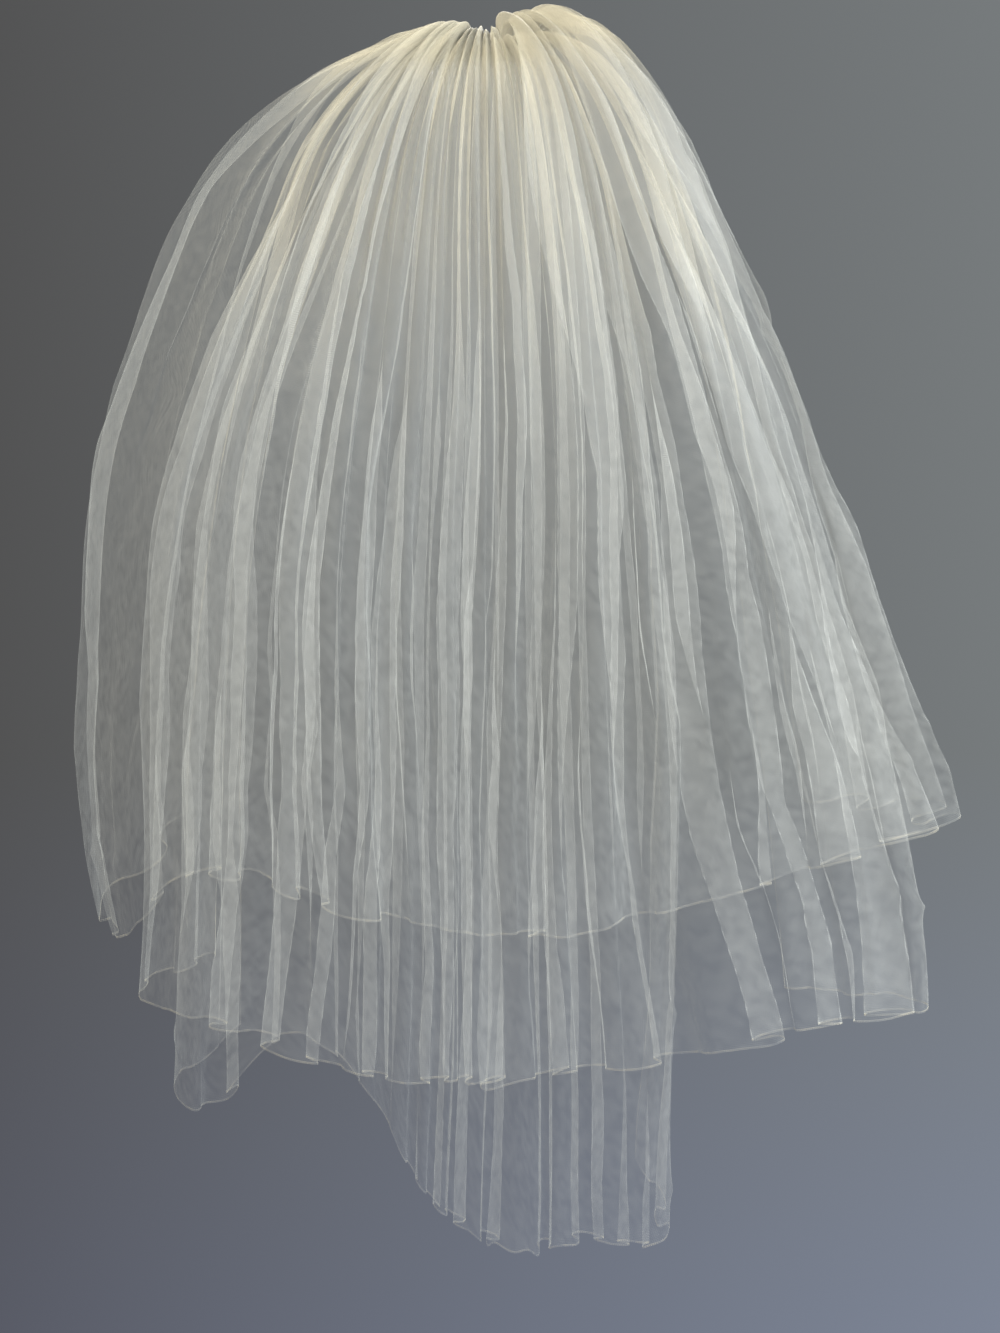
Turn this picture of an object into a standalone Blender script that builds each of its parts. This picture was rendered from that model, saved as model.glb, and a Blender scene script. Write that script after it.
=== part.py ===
"""A three tier bridal veil of stiff net, gathered to a comb, in the hollow shape it has when worn.

+X is to the wearer's right, +Y is where the wearer faces, +Z is up. The origin is the comb's spine.
Each tier starts at the heading band, arches up, and falls in pleats round a space left for the head
and shoulders. A tier is worked out as a fan of gores, each running down the cloth at its own bearing
and slope, with pleats laid across the fan.
"""
import math

import bmesh
import bpy
import numpy as np
from mathutils import Matrix, Vector

MM = 0.001

# Driving sizes, in millimetres
WALL = 1.3                 # cloth wall, a little less round the corners of a pleat
SEAM = 0.3                 # gap kept where pieces meet
COMB_WIDTH = 88.0
COMB_TILT = 35.0           # degrees that the teeth dip below level, forwards
CROWN_RADIUS = 150.0       # the comb and band bow over a crown of this radius
SPINE_HEIGHT = 6.0
SPINE_THICK = 2.4
TOOTH_COUNT = 20
TOOTH_LENGTH = 36.0
TOOTH_THIN = 0.45          # share of the width and thickness left at a tooth's tip
BAND_DEPTH = 7.0
BAND_HEIGHT = 10.0
BAND_STEPS = 24
HEADING_WIDTH = 87.0       # gathered width of every tier at the band
HEADING_PITCH = 2.9        # distance between one tier's heading and the next, up the band's back face
TURN_RUN = 150.0           # distance down the cloth over which a gore turns to its own bearing
RUN_STEP = 5.0             # step along a gore when its fall is summed
EDGE_ROOM = 0.7            # share of the wall that a slanting top edge needs clear of the band
START_DEPTH = 0.4          # pleat depth at the band
GROWTH_RUN = 130.0         # distance down the cloth over which the pleats grow
GROWTH_DELAY = 1.3         # above 1, the pleats grow late
DEEPEST = 0.8              # greatest pleat depth, as a share of the pleat's width
BULGE = 0.9                # how far pleat sides stand upright, 1 is square to the cloth
UPRIGHT_SOON = 2.0         # pleat sides stand upright when the pleats have 1 / this of their depth

# Distances down the cloth where each gore's slope is given
STATIONS = (0, 30, 65, 110, 170, 260, 370, 510, 680, 860, 1000)

# One row for each gore, from the wearer's left front edge round the back to the right front edge.
# Columns: share of the width; bearing at the band and bearing at the hem, in degrees from straight
# back, positive to the wearer's right; cut length; then the slope in degrees at each station.
SHORT_GORES = (
    (0.00, -58, -130, 690, 60, -16, -40, -54, -64, -70, -74, -80, -86, -88, -88),
    (0.10, -52, -100, 806, 60, -20, -22, -30, -43, -64, -69, -83, -92, -106, -108),
    (0.18, -45, -82, 792, 62, -18, -25, -36, -50, -66, -71, -83, -91, -102, -104),
    (0.26, -36, -62, 712, 64, -12, -30, -46, -60, -70, -73, -82, -90, -93, -94),
    (0.38, -21, -33, 710, 50, -10, -36, -55, -70, -77, -80, -84, -87, -89, -90),
    (0.52, -2, -2, 720, 34, -11, -36, -58, -73, -79, -82, -85, -87, -88, -89),
    (0.66, 16, 30, 725, 60, 4, -32, -57, -69, -75, -78, -81, -83, -84, -85),
    (0.79, 34, 62, 718, 74, 14, -30, -53, -63, -67, -71, -73, -75, -76, -77),
    (0.91, 49, 92, 712, 76, 10, -38, -55, -60, -61, -69, -71, -70, -70, -70),
    (1.00, 58, 124, 690, 70, 0, -40, -56, -66, -71, -75, -78, -80, -82, -82),
)
MIDDLE_GORES = (
    (0.00, -58, -124, 780, 42, -24, -50, -62, -70, -73, -77, -84, -87, -88, -89),
    (0.10, -52, -97, 812, 44, -20, -38, -48, -66, -66, -71, -86, -87, -85, -85),
    (0.24, -37, -66, 804, 46, -20, -44, -58, -70, -72, -76, -83, -87, -88, -88),
    (0.38, -21, -34, 814, 36, -24, -50, -67, -77, -81, -83, -85, -87, -88, -88),
    (0.52, -2, -3, 812, 27, -26, -54, -72, -80, -83, -85, -87, -88, -88, -88),
    (0.66, 16, 28, 812, 40, -18, -50, -70, -77, -80, -82, -84, -86, -86, -86),
    (0.79, 34, 60, 814, 56, -8, -44, -62, -70, -72, -74, -77, -80, -83, -84),
    (0.91, 49, 92, 832, 60, -10, -44, -61, -66, -65, -68, -71, -78, -88, -88),
    (1.00, 57, 118, 806, 50, -12, -50, -64, -72, -75, -78, -80, -82, -84, -84),
)
LONG_GORES = (
    (0.00, -57, -112, 800, 22, -30, -62, -72, -70, -74, -80, -87, -88, -88, -88),
    (0.08, -52, -97, 856, 25, -25, -58, -67, -62, -65, -78, -87, -86, -86, -86),
    (0.16, -45, -82, 858, 25, -25, -59, -69, -66, -68, -79, -87, -87, -87, -87),
    (0.20, -41, -75, 804, 25, -28, -61, -72, -71, -73, -81, -88, -88, -88, -88),
    (0.24, -37, -68, 788, 24, -30, -62, -74, -76, -78, -83, -88, -88, -88, -88),
    (0.32, -30, -53, 822, 22, -34, -66, -78, -82, -84, -86, -88, -88, -88, -88),
    (0.42, -19, -36, 892, 16, -38, -68, -80, -85, -86, -87, -88, -89, -89, -89),
    (0.55, -6, -12, 922, 12, -39, -70, -82, -86, -87, -88, -89, -89, -89, -89),
    (0.68, 9, 15, 936, 18, -38, -70, -82, -86, -87, -88, -88, -88, -88, -88),
    (0.80, 22, 40, 936, 24, -34, -66, -78, -83, -84, -86, -88, -89, -90, -90),
    (0.90, 32, 62, 942, 28, -28, -62, -74, -78, -79, -81, -85, -90, -92, -92),
    (1.00, 40, 84, 876, 26, -34, -66, -76, -80, -82, -86, -89, -92, -92, -92),
)

# One row for each pleat across a tier, left to right as seen from behind.
# Columns: percent of the width; share of the pleat that is crest; depth outwards and inwards at the
# hem; lean, the crest's sideways shift as a share of its depth; how much of the depth it has high up.
SHORT_PLEATS = (
    (5.0, 0.50, 10, 9, 0.3, 0.6),
    (8.0, 0.60, 10, 8, -0.3, 0.6),
    (9.2, 0.65, 9, 9, 0.2, 0.5),
    (6.5, 0.55, 12, 12, 0.6, 0.7),
    (5.0, 0.45, 17, 13, 0.6, 1.0),
    (4.0, 0.50, 19, 15, 0.3, 0.9),
    (7.0, 0.62, 22, 17, -0.3, 1.0),
    (3.6, 0.48, 16, 15, 0.3, 0.8),
    (6.0, 0.55, 21, 17, 0.2, 1.0),
    (4.0, 0.50, 16, 15, -0.3, 0.8),
    (8.0, 0.65, 22, 17, 0.3, 0.9),
    (3.6, 0.48, 16, 15, -0.2, 0.8),
    (6.4, 0.58, 21, 17, -0.5, 1.0),
    (4.0, 0.50, 17, 13, 0.1, 0.8),
    (5.7, 0.60, 19, 13, 0.6, 0.8),
    (5.4, 0.60, 14, 12, -0.6, 0.9),
    (5.0, 0.70, 12, 10, -0.3, 0.7),
    (3.6, 0.50, 9, 8, 0.4, 0.6),
)
MIDDLE_PLEATS = (
    (5.5, 0.50, 9, 8, -0.4, 0.6),
    (6.5, 0.60, 9, 9, 0.4, 0.8),
    (7.5, 0.60, 9, 12, -0.3, 0.7),
    (5.0, 0.50, 13, 12, 0.6, 1.0),
    (4.2, 0.45, 15, 14, -0.5, 0.8),
    (6.5, 0.60, 18, 15, 0.3, 1.0),
    (4.0, 0.50, 15, 15, 0.5, 0.8),
    (7.5, 0.62, 19, 16, -0.3, 0.9),
    (3.8, 0.50, 15, 14, 0.2, 1.0),
    (5.2, 0.55, 17, 16, 0.5, 0.8),
    (8.0, 0.65, 19, 15, -0.2, 1.0),
    (4.0, 0.48, 16, 14, 0.3, 0.8),
    (5.4, 0.58, 17, 14, -0.4, 0.9),
    (5.2, 0.60, 15, 16, 0.5, 0.8),
    (4.6, 0.60, 14, 20, -0.4, 0.9),
    (5.0, 0.65, 13, 24, 0.4, 0.9),
    (8.3, 0.80, 11, 14, -0.2, 0.7),
    (3.8, 0.50, 8, 7, 0.2, 0.6),
)
LONG_PLEATS = (
    (5.0, 0.50, 8, 7, 0.3, 0.7),
    (11.0, 0.72, 9, 14, -0.2, 0.8),
    (7.0, 0.50, 9, 10, 0.4, 0.8),
    (6.0, 0.50, 11, 10, 0.2, 0.9),
    (5.5, 0.50, 13, 10, -0.5, 0.8),
    (6.0, 0.60, 14, 11, 0.4, 1.0),
    (5.0, 0.50, 13, 11, -0.3, 0.8),
    (6.0, 0.45, 14, 11, 0.3, 0.9),
    (7.5, 0.60, 15, 12, -0.3, 1.0),
    (13.0, 0.75, 15, 12, 0.2, 0.9),
    (9.0, 0.60, 14, 11, -0.3, 0.9),
    (6.0, 0.50, 12, 9, 0.2, 0.9),
    (7.0, 0.65, 9, 6, -0.2, 0.7),
    (5.8, 0.50, 5, 3, 0.0, 0.5),
)

# Rows of the wall down a tier, as shares of its length, closer where it arches over the crown
ROW_SHARES = (0, 0.03, 0.065, 0.105, 0.15, 0.205, 0.27, 0.35, 0.45, 0.56, 0.67, 0.78, 0.89, 1)
PLEAT_CORNERS = (45, 135, 225, 315)     # phase angles of a pleat's corners
CORNER_REACH = 0.80                     # height of those corners as a share of the pleat's depth


def smooth_table(places, keys, values):
    """Values of a table at the given places, on a smooth curve through its rows."""
    keys = np.asarray(keys, float)
    values = np.asarray(values, float)
    slopes = np.gradient(values, keys, axis=0)
    places = np.clip(np.asarray(places, float), keys[0], keys[-1])
    index = np.clip(np.searchsorted(keys, places, side="right") - 1, 0, len(keys) - 2)
    width = (keys[index + 1] - keys[index])
    t = (places - keys[index]) / width
    shape = (-1,) + (1,) * (values.ndim - 1)
    t = t.reshape(shape)
    width = width.reshape(shape)
    return ((2 * t**3 - 3 * t**2 + 1) * values[index] + (t**3 - 2 * t**2 + t) * width * slopes[index]
            + (3 * t**2 - 2 * t**3) * values[index + 1] + (t**3 - t**2) * width * slopes[index + 1])


def ease(t):
    """A smooth step from 0 to 1."""
    t = np.clip(t, 0, 1)
    return t * t * (3 - 2 * t)


def heading_points(shares, level):
    """Where the cloth leaves the band: a line across its back face, bowed over the crown."""
    tilt = math.radians(COMB_TILT)
    back = SPINE_HEIGHT / 2 + SEAM + BAND_DEPTH + SEAM + WALL * EDGE_ROOM
    x = (np.asarray(shares) - 0.5) * HEADING_WIDTH
    points = np.zeros((len(x), 3))
    points[:, 0] = x
    points[:, 1] = -back * math.cos(tilt) + level * math.sin(tilt)
    points[:, 2] = back * math.sin(tilt) + level * math.cos(tilt) - x**2 / (2 * CROWN_RADIUS)
    return points


def fall_of_cloth(gores, shares, level):
    """The smooth cloth, before its pleats: points by column and by step down the cloth."""
    rows = np.array(gores, float)
    table = smooth_table(shares, rows[:, 0], rows[:, 1:])
    run = np.arange(0, STATIONS[-1] + RUN_STEP, RUN_STEP)
    middle = run[:-1] + RUN_STEP / 2
    slope = np.radians(smooth_table(middle, STATIONS, table[:, 3:].T)).T
    turn = ease(middle / TURN_RUN)[None, :]
    bearing = np.radians(table[:, 0:1] * (1 - turn) + table[:, 1:2] * turn)
    step = np.stack([np.cos(slope) * np.sin(bearing), -np.cos(slope) * np.cos(bearing), np.sin(slope)], -1)
    points = np.concatenate([np.zeros((len(shares), 1, 3)), np.cumsum(step * RUN_STEP, axis=1)], axis=1)
    return points + heading_points(shares, level)[:, None, :], run, table[:, 2]


def pleat_phases(pleats, corners):
    """Share of the width, pleat number and phase angle of each column across a tier."""
    table = np.array(pleats, float)
    widths = table[:, 0] / table[:, 0].sum()
    starts = np.concatenate([[0], np.cumsum(widths)])
    shares, numbers, phases = [0.0], [0], [0.0]
    for number in range(len(pleats)):
        crest = table[number, 1]
        for corner in corners:
            half_turns = corner / 180
            inside = crest * half_turns if half_turns < 1 else crest + (1 - crest) * (half_turns - 1)
            shares.append(starts[number] + widths[number] * inside)
            numbers.append(number)
            phases.append(math.radians(corner))
    shares.append(1.0)
    numbers.append(len(pleats) - 1)
    phases.append(2 * math.pi)
    return np.array(shares), np.array(numbers), np.array(phases)


def pleated_cloth(gores, pleats, level, corners, row_shares, reach):
    """Points of a tier by column and row, with its pleats."""
    shares, numbers, phases = pleat_phases(pleats, corners)
    smooth, run, lengths = fall_of_cloth(gores, shares, level)
    row_shares = np.asarray(row_shares)
    distance = lengths[:, None] * row_shares[None, :]
    base = np.stack([[np.interp(distance[c], run, smooth[c, :, axis]) for axis in range(3)]
                     for c in range(len(shares))]).transpose(0, 2, 1)
    across = np.gradient(base, shares, axis=0)
    down = np.gradient(base, row_shares, axis=1)
    stretch = np.linalg.norm(across, axis=2)
    across /= stretch[..., None]
    out = np.cross(across, down)
    out /= -np.linalg.norm(out, axis=2)[..., None]

    table = np.array(pleats, float)
    width, crest, outward, inward, lean, high = (table[numbers, i][:, None] for i in range(6))
    phase = phases[:, None]
    on_crest = np.sin(phase) >= 0
    part_span = stretch * width / table[:, 0].sum() * np.where(on_crest, crest, 1 - crest) * 2
    growth = 1 - np.exp(-(distance / GROWTH_RUN)**GROWTH_DELAY)
    depth = np.where(on_crest, outward, inward) * (high + (1 - high) * ease(row_shares)[None, :])
    depth = START_DEPTH + depth * growth
    deepest = DEEPEST * part_span
    depth = depth * deepest / np.sqrt(depth**2 + deepest**2)
    rise = depth * np.sin(phase) / reach
    upright = BULGE * np.minimum(1, UPRIGHT_SOON * growth)
    shift = lean * growth * rise - upright * part_span / (4 * math.pi) * np.sin(2 * phase)
    return base + out * rise[..., None] + across * shift[..., None]


def material(name, colour, roughness, metallic=0.0):
    """A plain finish."""
    made = bpy.data.materials.new(name)
    made.use_nodes = True
    shader = made.node_tree.nodes["Principled BSDF"]
    shader.inputs["Base Color"].default_value = (*colour, 1)
    shader.inputs["Roughness"].default_value = roughness
    shader.inputs["Metallic"].default_value = metallic
    return made


def add_object(name, mesh_source, finish):
    """Turn a bmesh into a named object."""
    bmesh.ops.recalc_face_normals(mesh_source, faces=mesh_source.faces)
    mesh = bpy.data.meshes.new(name)
    mesh_source.to_mesh(mesh)
    mesh_source.free()
    mesh.materials.append(finish)
    made = bpy.data.objects.new(name, mesh)
    bpy.context.scene.collection.objects.link(made)
    return made


def tier(name, gores, pleats, level, finish):
    """One tier of the veil: a pleated sheet with a wall."""
    points = pleated_cloth(gores, pleats, level, PLEAT_CORNERS, ROW_SHARES, CORNER_REACH) * MM
    columns, rows = points.shape[:2]
    sheet = bmesh.new()
    grid = [[sheet.verts.new(points[c, r]) for r in range(rows)] for c in range(columns)]
    for c in range(columns - 1):
        for r in range(rows - 1):
            sheet.faces.new((grid[c][r], grid[c + 1][r], grid[c + 1][r + 1], grid[c][r + 1]))
    made = add_object(name, sheet, finish)
    wall = made.modifiers.new("wall", "SOLIDIFY")
    wall.thickness = WALL * MM
    wall.offset = 0
    made.data.shade_smooth()
    return made


def bow(x):
    """How far the comb and band drop below their middle at a distance x along them."""
    return -x**2 / (2 * CROWN_RADIUS)


def comb(finish):
    """Spine and teeth in one piece. It is drawn flat with its teeth along +Y, then tipped forwards."""
    drawn = bmesh.new()
    spaces = 2 * TOOTH_COUNT + 1
    half = COMB_WIDTH / 2
    edges = [-half + COMB_WIDTH * i / spaces for i in range(spaces + 1)]
    rings = []
    for x in edges:
        corners = [(SPINE_HEIGHT / 2, SPINE_THICK / 2), (SPINE_HEIGHT / 2, -SPINE_THICK / 2),
                   (-SPINE_HEIGHT / 2, -SPINE_THICK / 2), (-SPINE_HEIGHT / 2, SPINE_THICK / 2)]
        rings.append([drawn.verts.new((x, y, z)) for y, z in corners])
    for left, right in zip(rings, rings[1:]):
        for i in range(4):
            j = (i + 1) % 4
            drawn.faces.new((left[i], left[j], right[j], right[i]))
    drawn.faces.new(rings[0])
    drawn.faces.new(rings[-1])
    bmesh.ops.recalc_face_normals(drawn, faces=drawn.faces)
    roots = [face for face in drawn.faces if face.normal.y > 0.9]
    roots.sort(key=lambda face: face.calc_center_median().x)
    for root in roots[1::2]:
        centre = root.calc_center_median()
        tip = bmesh.ops.extrude_discrete_faces(drawn, faces=[root])["faces"][0]
        for vert in tip.verts:
            offset = vert.co - centre
            vert.co = centre + offset * TOOTH_THIN + Vector((0, TOOTH_LENGTH, 0))
    tip_over = Matrix.Rotation(math.radians(-COMB_TILT), 4, "X")
    for vert in drawn.verts:
        x = vert.co.x
        vert.co = tip_over @ vert.co
        vert.co.z += bow(x)
    bmesh.ops.scale(drawn, vec=(MM, MM, MM), verts=drawn.verts)
    return add_object("comb", drawn, finish)


def heading_band(finish):
    """The binding that holds the gathers, behind the comb's spine, with its back face to the cloth."""
    drawn = bmesh.new()
    front = -SPINE_HEIGHT / 2 - SEAM
    half_height = BAND_HEIGHT / 2
    chamfer = 1.2
    outline = [(front, half_height - chamfer), (front, chamfer - half_height),
               (front - chamfer, -half_height), (front - BAND_DEPTH, -half_height),
               (front - BAND_DEPTH, half_height), (front - chamfer, half_height)]
    rings = []
    for i in range(BAND_STEPS + 1):
        x = COMB_WIDTH * (i / BAND_STEPS - 0.5)
        rings.append([drawn.verts.new((x, y, z)) for y, z in outline])
    for left, right in zip(rings, rings[1:]):
        for i in range(len(outline)):
            j = (i + 1) % len(outline)
            drawn.faces.new((left[i], left[j], right[j], right[i]))
    drawn.faces.new(rings[0])
    drawn.faces.new(rings[-1])
    tip_over = Matrix.Rotation(math.radians(-COMB_TILT), 4, "X")
    for vert in drawn.verts:
        x = vert.co.x
        vert.co = tip_over @ vert.co
        vert.co.z += bow(x)
    bmesh.ops.scale(drawn, vec=(MM, MM, MM), verts=drawn.verts)
    return add_object("heading_band", drawn, finish)


def main():
    """Build the whole veil."""
    for old in list(bpy.data.objects):
        bpy.data.objects.remove(old, do_unlink=True)
    net = material("ivory_net", (0.86, 0.84, 0.75), 0.75)
    binding = material("ivory_binding", (0.84, 0.81, 0.71), 0.6)
    clear = material("clear_comb", (0.80, 0.80, 0.76), 0.25)
    comb(clear)
    heading_band(binding)
    tier("tier_short", SHORT_GORES, SHORT_PLEATS, HEADING_PITCH, net)
    tier("tier_middle", MIDDLE_GORES, MIDDLE_PLEATS, 0.0, net)
    tier("tier_long", LONG_GORES, LONG_PLEATS, -HEADING_PITCH, net)


main()
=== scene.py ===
# A three tier bridal veil on its comb, dressed as crisp sheer net.
# Lengths are in millimetres unless a note says otherwise, and mm turns them into Blender's metres.
import math

import bmesh
import bpy
import numpy as np
from mathutils import Matrix, Vector


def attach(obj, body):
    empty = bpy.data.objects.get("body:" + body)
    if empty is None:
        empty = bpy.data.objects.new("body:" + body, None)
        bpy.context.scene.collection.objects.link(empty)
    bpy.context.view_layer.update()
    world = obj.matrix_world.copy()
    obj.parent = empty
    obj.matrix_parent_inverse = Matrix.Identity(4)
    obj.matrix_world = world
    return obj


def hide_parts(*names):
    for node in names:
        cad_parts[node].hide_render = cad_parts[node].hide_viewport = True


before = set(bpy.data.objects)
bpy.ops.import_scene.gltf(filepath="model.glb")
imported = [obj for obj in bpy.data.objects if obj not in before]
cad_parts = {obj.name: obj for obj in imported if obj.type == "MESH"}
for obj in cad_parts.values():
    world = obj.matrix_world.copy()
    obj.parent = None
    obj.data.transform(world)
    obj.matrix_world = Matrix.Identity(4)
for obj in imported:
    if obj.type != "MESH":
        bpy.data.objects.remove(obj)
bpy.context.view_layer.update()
mm = 0.001
print("frame loaded")


class Value:  # a shader socket that takes part in sums
    def __init__(self, nodes, socket):
        self.nodes = nodes
        self.socket = socket

    def maths(self, operation, first, second):
        return self.nodes.node("ShaderNodeMath", {"operation": operation}, [first, second])

    def __add__(self, other):
        return self.maths("ADD", self, other)

    def __radd__(self, other):
        return self.maths("ADD", other, self)

    def __sub__(self, other):
        return self.maths("SUBTRACT", self, other)

    def __rsub__(self, other):
        return self.maths("SUBTRACT", other, self)

    def __mul__(self, other):
        return self.maths("MULTIPLY", self, other)

    def __rmul__(self, other):
        return self.maths("MULTIPLY", other, self)

    def __truediv__(self, other):
        return self.maths("DIVIDE", self, other)

    def __rpow__(self, other):
        return self.maths("POWER", other, self)

    def cosine(self):
        return self.maths("COSINE", self, 0.0)

    def step(self, low, high, shape="SMOOTHSTEP"):  # 0 below low, 1 above high
        return self.nodes.node("ShaderNodeMapRange", {"interpolation_type": shape},
                               {"Value": self, "From Min": low, "From Max": high})


class Nodes:  # a node tree, and the one way in which nodes come into it
    def __init__(self, tree):
        self.tree = tree

    def node(self, kind, settings, inputs, output=0):
        made = self.tree.nodes.new(kind)
        for name, value in settings.items():
            setattr(made, name, value)
        pairs = inputs.items() if isinstance(inputs, dict) else enumerate(inputs)
        for key, value in pairs:
            self.plug(made.inputs[key], value)
        return Value(self, made.outputs[output])

    def plug(self, socket, value):
        if isinstance(value, Value):
            self.tree.links.new(value.socket, socket)
        else:
            socket.default_value = value

    def places(self, output="Object"):
        return self.node("ShaderNodeTexCoord", {}, {}, output)

    def parts(self, vector):
        split = self.node("ShaderNodeSeparateXYZ", {}, [vector]).socket.node
        return [Value(self, output) for output in split.outputs]

    def blend(self, factor, first, second):
        return self.node("ShaderNodeMix", {"data_type": "RGBA"},
                         {0: factor, 6: (*first, 1), 7: (*second, 1)}, 2)


class Finish(Nodes):  # a material and its shader
    def __init__(self, name):
        self.material = bpy.data.materials.new(name)
        self.material.use_nodes = True
        super().__init__(self.material.node_tree)
        self.shader = self.tree.nodes["Principled BSDF"]

    def feed(self, **values):
        for name, value in values.items():
            self.plug(self.shader.inputs[name.replace("_", " ")], value)

    def attribute(self, name):
        return self.node("ShaderNodeAttribute", {"attribute_name": name}, {}, "Fac")

    def noise(self, vector, size, detail=2.0):  # size of a patch in metres
        return self.node("ShaderNodeTexNoise", {},
                         {"Vector": vector, "Scale": 1 / size, "Detail": detail})

    def bumps(self, height, depth):  # depth in metres for a height of 1
        return self.node("ShaderNodeBump", {}, {"Height": height, "Strength": 1.0, "Distance": depth})


# the net
net = {
    "thin": (0.895, 0.92, 0.865),
    "gathered": (0.95, 0.87, 0.64),  # painted light: a warmer colour standing in for light that wanders through dense gathers
    "gatheredAt": (0.04, 0.16),      # how dense a layer is where that starts and where it is complete
    "cell": (1.6, 1.35),      # a hole's width and height
    "thread": 0.16,
    "threadSoftness": 0.3,    # how softly a thread's edge ends
    "threads": 0.55,          # 0 is an even film, 1 is threads alone
    "density": 0.034,         # how much one layer stops, seen square on
    "gathering": 1.65,        # above 1, gathered net gets denser than its thread alone would make it
    "steepest": 0.06,         # keeps a layer that is seen edge on from turning solid
    "cutEdge": (1.3, 1.7),    # the raw edge shows a little denser, down to these distances from it
    "cutGain": 3.0,
    "mottle": (260, 105),     # faint patches across and down a tier
    "mottleDepth": 0.16,
    "speckle": 0.5,           # uneven closeness of the threads from place to place
    "roughness": 0.55,
    "gloss": 0.3,
}


def netFinish():
    made = Finish("ivoryNet")
    cloth = made.node("ShaderNodeUVMap", {"uv_map": "cloth"}, {})
    width, height = net["cell"]
    threads = made.node("ShaderNodeTexBrick", {"offset": 0.5, "squash": 1.0}, {
        "Vector": cloth, "Scale": 1.0, "Brick Width": width * mm, "Row Height": height * mm,
        "Mortar Size": net["thread"] * mm, "Mortar Smooth": net["threadSoftness"]}, "Fac")
    shareOfThread = 1 - (1 - 2 * net["thread"] / width) * (1 - 2 * net["thread"] / height)
    pattern = threads * (net["threads"] / shareOfThread) + (1 - net["threads"])
    facing = made.node("ShaderNodeLayerWeight", {}, {"Blend": 0.5}, "Facing")
    amount = made.attribute("layer")
    layer = pattern * amount / (1 + net["steepest"] - facing)
    made.feed(Alpha=1 - math.e ** (layer * -1))
    # the base colour turns to a painted warm glow where the net is dense, for light scattered through
    # its gathers
    made.feed(Base_Color=made.blend(amount.step(*net["gatheredAt"]), net["thin"], net["gathered"]))
    made.feed(Roughness=net["roughness"], Specular_IOR_Level=net["gloss"])
    return made.material


# how the cloth leaves the comb and falls
crown = {
    "combTilt": 35.0,         # degrees that the teeth dip below level, forwards
    "radius": 150.0,          # the comb and band bow over a crown of this radius
    "spineHeight": 6.0,
    "seam": 0.3,
    "bandDepth": 7.0,
    "bandHeight": 10.0,
    "headingWidth": 87.0,     # gathered width of every tier at the band
    "headingPitch": 2.9,      # from one tier's heading to the next, up the band's back face
    "edgeRoom": 0.9,          # a top edge stands this far from the band
}
fall = {
    "stations": (0, 30, 65, 110, 170, 260, 370, 510, 680, 860, 1000),  # where the slopes are given
    "turnRun": 150.0,         # distance over which a gore turns to its own bearing
    "runStep": 5.0,
    "crownRows": (0.45, 1.6),  # how much closer the rows stand over the crown
}
folds = {
    # the pleats
    "startDepth": 0.4,        # pleat depth at the band
    "growthRun": 115.0,       # distance down the cloth over which the pleats grow
    "growthDelay": 1.3,
    "lateness": 0.5,          # how unevenly far down the pleats begin
    "uneven": (1.4, 4),       # how much a pleat's depth changes on its way down, and in how many swells
    "weakest": 0.06,          # depth left where a pleat fades away, as a share of its own
    "strongest": 1.8,
    "deepest": 1.0,           # greatest depth, as a share of the pleat's width
    "crownDepth": (0.4, 150.0),  # share of that at the band, and the distance until it is all
    "atHem": (0.84, 0.45, 2),  # share of its depth that is left there, where that starts, how soon
    "sharpness": 0.92,        # of the pleats, between 0 for round ones and 1 for knife edges
    "ownLean": 0.5,           # how much of each pleat's own lean counts
    "tuck": 1.9,              # above 1, the sides of a pleat tuck in behind it
    "tuckChange": (1.6, 3),   # how much that changes on the way down, and in how many swells
    "tuckAside": 0.5,         # share of the tuck at the front edges, and more than all of it behind
    "tuckStrength": 1.5,      # a pleat tucks in fully once its strength times this is 1
    "tuckGrowth": 2,          # and once its growth times this is 1

    # small gathers at the band, the same in every tier so that the tiers nest
    "gathers": 30,
    "gatherDepth": 0.56,      # as a share of their pitch
    "gatherLimit": 6.0,
    "gatherRun": (30.0, 330.0),  # where they start to fade and where they are gone
    "gatherSwing": (0.6, 3),  # how far they stray, as a share of their pitch, and in how many swells
    "gatherSeed": 5,

    # chance unevenness: how much, then how many swells or facets across and down a tier
    "stray": (0.027, 9, 4),   # how far fold lines wander sideways, as a share of the width
    "kinks": (0.005, 26, 12),
    "lieOver": (0.9, 8, 3),   # how far groups of pleats lean over
    "rippleSwing": (0.5, 12, 3),  # how far ripples stray, as a share of their pitch

    # the same, with how soon below the band it grows to its full height, ahead of the two counts
    "buckle": (1.4, 5, 34, 15),   # soft buckles all over
    "crumple": (3.4, 6, 30, 13),  # flat facets and sharp creases left by folding it away
    "billow": (5.0, 2.5, 14, 4),  # slow swells that break the rhythm of the pleats

    # the rest of the surface
    "strayStart": 2.5,        # how soon below the band fold lines start to wander
    "warp": 0.7,              # how far the creases between facets stray from running straight
    "ripples": 2.6,           # ripples for each pleat
    "rippleDepth": 3.0,
    "ripplePatches": (4, 8, 5),  # how soon they start, and how many patches of them across and down
    "flare": (2.0, 0.8, 5, 30, 5),  # waves above the hem: height, where they start, how soon, how many
    "cutWobble": ((1.2, 90), (3.5, 17)),  # a hand cut hem: height and number of short and long waves
    "creaseSoftness": 0.08,
    "creaseFade": 0.7,        # below 1, a placed crease keeps its height closer to its ends
    "room": 3.0,              # the outer and inner tiers stand this much further from the middle one
    "roomRun": 25.0,          # the distance from the band over which that comes
}

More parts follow.
